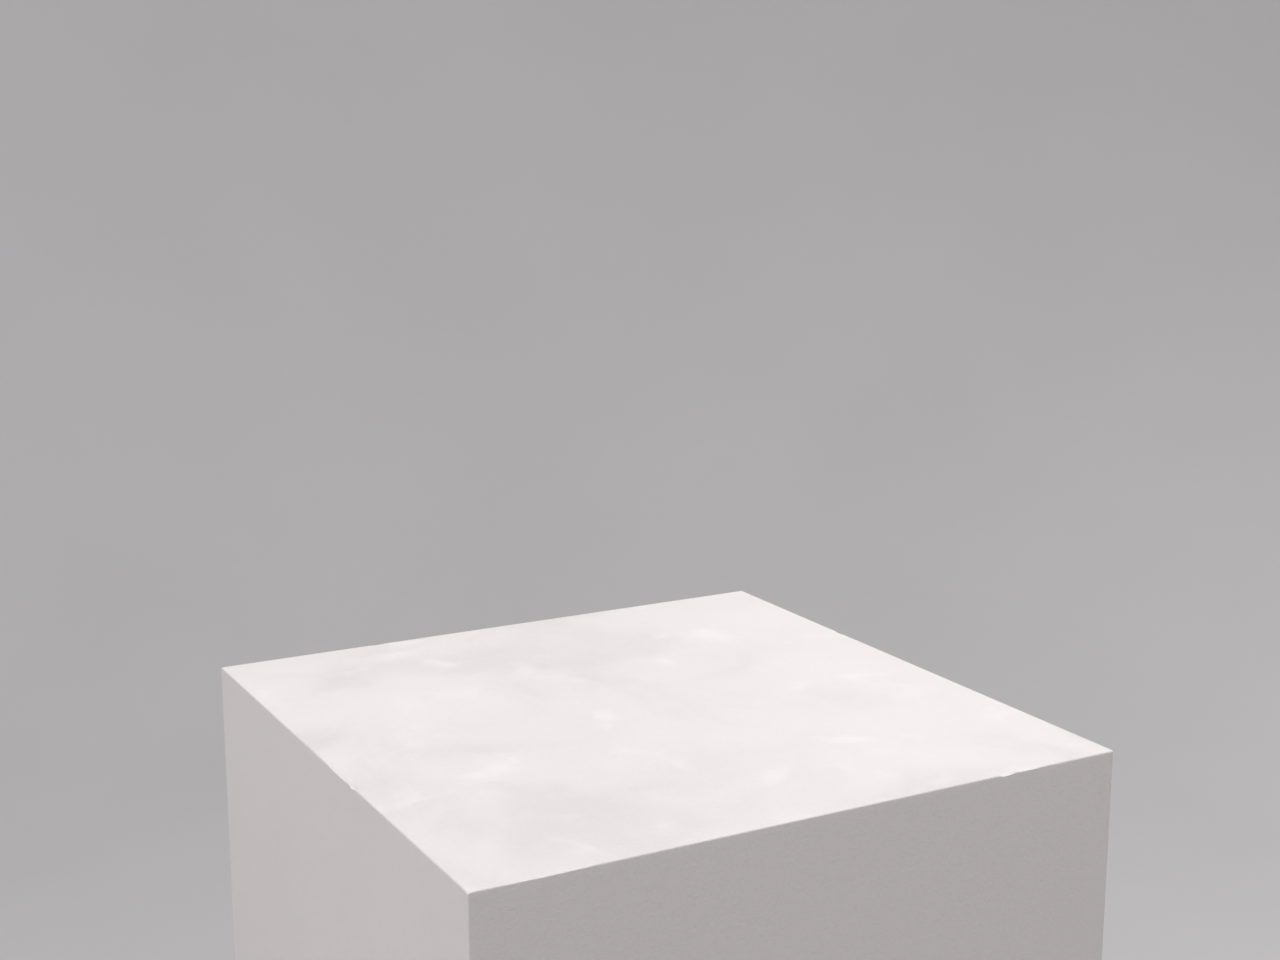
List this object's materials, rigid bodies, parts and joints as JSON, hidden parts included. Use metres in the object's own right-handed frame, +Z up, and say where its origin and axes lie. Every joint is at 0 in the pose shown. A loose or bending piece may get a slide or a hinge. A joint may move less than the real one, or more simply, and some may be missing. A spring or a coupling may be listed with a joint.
{
  "type": "display plinth",
  "caption": "Tall square painted box plinth with mitred edges, for showing a sculpture, on a hidden frame with screw-in levelling feet.",
  "frame": {"origin": "on the floor under the centre of the plinth, with the feet screwed fully in", "axes": "+Z up along the plinth's height; the front panel faces -Y and the right panel faces +X"},
  "size_m": [0.4, 0.4, 1.1],
  "materials": {
    "painted_board": "matte",
    "plywood": "matte",
    "softwood": "matte",
    "zinc_steel": "satin",
    "nylon": "satin",
    "rubber": "matte"
  },
  "bodies": {
    "plinth": {"top_panel": "painted_board", "sub_top_board": "plywood", "front_panel": "painted_board", "right_panel": "painted_board", "back_panel": "painted_board", "left_panel": "painted_board", "front_left_edge_spline": "plywood", "front_right_edge_spline": "plywood", "back_right_edge_spline": "plywood", "back_left_edge_spline": "plywood", "top_front_spline": "plywood", "top_right_spline": "plywood", "top_back_spline": "plywood", "top_left_spline": "plywood", "front_left_post": "softwood", "front_right_post": "softwood", "back_right_post": "softwood", "back_left_post": "softwood", "base_rail_front": "softwood", "top_rail_front": "softwood", "base_rail_right": "softwood", "top_rail_right": "softwood", "base_rail_back": "softwood", "top_rail_back": "softwood", "base_rail_left": "softwood", "top_rail_left": "softwood", "front_left_insert_nut": "zinc_steel", "front_right_insert_nut": "zinc_steel", "back_right_insert_nut": "zinc_steel", "back_left_insert_nut": "zinc_steel", "base_rail_screw_front_a": "zinc_steel", "top_screw_front_a": "zinc_steel", "base_rail_screw_front_b": "zinc_steel", "top_screw_front_b": "zinc_steel", "base_rail_screw_right_a": "zinc_steel", "top_screw_right_a": "zinc_steel", "base_rail_screw_right_b": "zinc_steel", "top_screw_right_b": "zinc_steel", "base_rail_screw_back_a": "zinc_steel", "top_screw_back_a": "zinc_steel", "base_rail_screw_back_b": "zinc_steel", "top_screw_back_b": "zinc_steel", "base_rail_screw_left_a": "zinc_steel", "top_screw_left_a": "zinc_steel", "base_rail_screw_left_b": "zinc_steel", "top_screw_left_b": "zinc_steel"},
    "front_left_pad": {"front_left_foot_pad": "nylon", "front_left_foot_sole": "rubber"},
    "front_left_stem": {"front_left_foot_stem": "zinc_steel"},
    "front_right_pad": {"front_right_foot_pad": "nylon", "front_right_foot_sole": "rubber"},
    "front_right_stem": {"front_right_foot_stem": "zinc_steel"},
    "back_right_pad": {"back_right_foot_pad": "nylon", "back_right_foot_sole": "rubber"},
    "back_right_stem": {"back_right_foot_stem": "zinc_steel"},
    "back_left_pad": {"back_left_foot_pad": "nylon", "back_left_foot_sole": "rubber"},
    "back_left_stem": {"back_left_foot_stem": "zinc_steel"}
  },
  "joints": [
    {"name": "front_left_foot_height", "type": "slide", "parent": "plinth", "child": "front_left_pad", "axis": [0, 0, -1], "range_m": [0, 0.015]},
    {"name": "front_left_foot_turn", "type": "hinge", "parent": "front_left_pad", "child": "front_left_stem", "pos_m": [-0.1597, -0.1597, 0], "axis": [0, 0, -1], "range_deg": [0, 3600]},
    {"name": "front_right_foot_height", "type": "slide", "parent": "plinth", "child": "front_right_pad", "axis": [0, 0, -1], "range_m": [0, 0.015]},
    {"name": "front_right_foot_turn", "type": "hinge", "parent": "front_right_pad", "child": "front_right_stem", "pos_m": [0.1597, -0.1597, 0], "axis": [0, 0, -1], "range_deg": [0, 3600]},
    {"name": "back_right_foot_height", "type": "slide", "parent": "plinth", "child": "back_right_pad", "axis": [0, 0, -1], "range_m": [0, 0.015]},
    {"name": "back_right_foot_turn", "type": "hinge", "parent": "back_right_pad", "child": "back_right_stem", "pos_m": [0.1597, 0.1597, 0], "axis": [0, 0, -1], "range_deg": [0, 3600]},
    {"name": "back_left_foot_height", "type": "slide", "parent": "plinth", "child": "back_left_pad", "axis": [0, 0, -1], "range_m": [0, 0.015]},
    {"name": "back_left_foot_turn", "type": "hinge", "parent": "back_left_pad", "child": "back_left_stem", "pos_m": [-0.1597, 0.1597, 0], "axis": [0, 0, -1], "range_deg": [0, 3600]}
  ],
  "couplings": [
    {"joint": "front_left_foot_turn", "follows": "front_left_foot_height", "rad_per_m": 4188.7},
    {"joint": "front_right_foot_turn", "follows": "front_right_foot_height", "rad_per_m": 4188.7},
    {"joint": "back_right_foot_turn", "follows": "back_right_foot_height", "rad_per_m": 4188.7},
    {"joint": "back_left_foot_turn", "follows": "back_left_foot_height", "rad_per_m": 4188.7}
  ]
}
